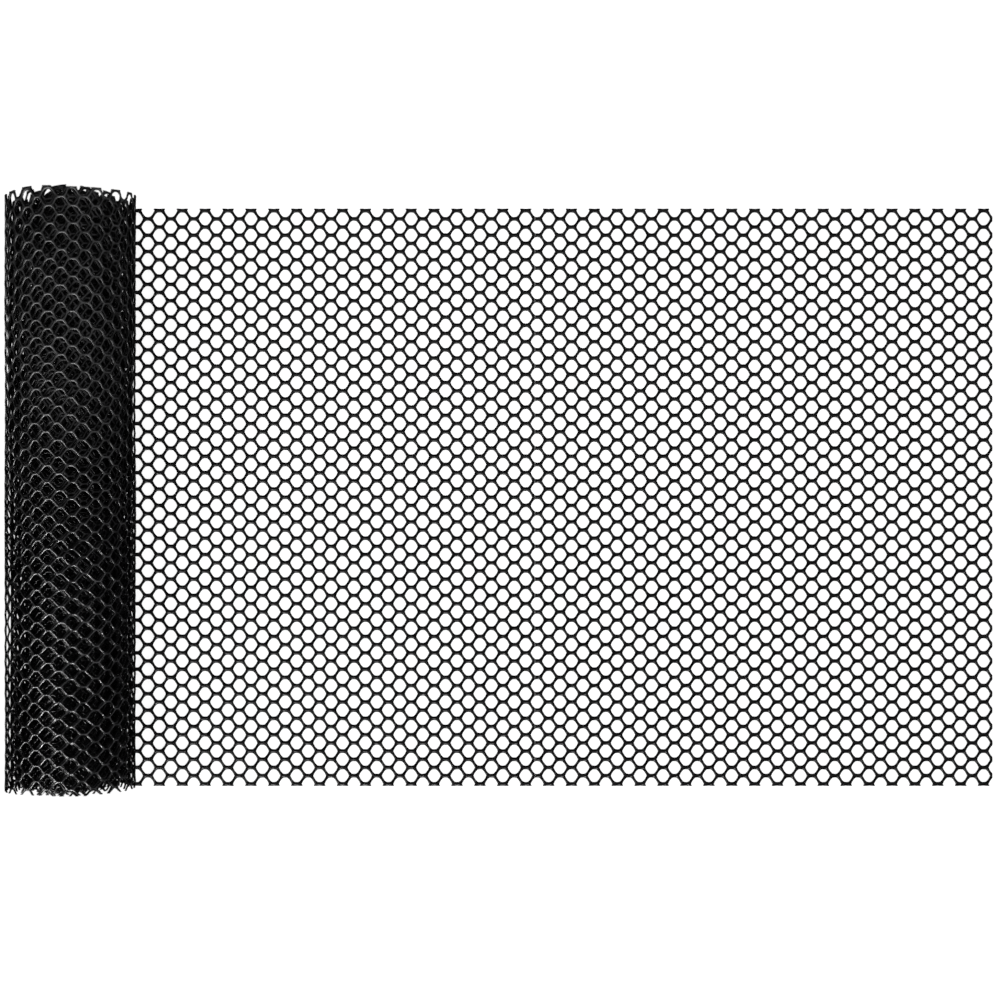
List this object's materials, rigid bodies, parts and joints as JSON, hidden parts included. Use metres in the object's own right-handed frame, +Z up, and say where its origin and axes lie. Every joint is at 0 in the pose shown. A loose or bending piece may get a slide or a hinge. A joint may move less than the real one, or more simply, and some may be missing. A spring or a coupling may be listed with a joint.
{
  "type": "roll of plastic chicken wire",
  "caption": "Roll of black plastic netting with six-sided openings, lying on its side with a loose end laid out flat on the floor.",
  "frame": {"origin": "on the floor, below the middle of the whole object", "axes": "+Z up, +Y along the roll's axis, +X from the roll along its loose end"},
  "size_m": [0.6744, 0.4038, 0.0868],
  "materials": {
    "net_plastic": "black polyethylene with a soft gloss"
  },
  "bodies": {
    "root": {"roll": "net_plastic", "loose_end": "net_plastic"}
  },
  "joints": []
}
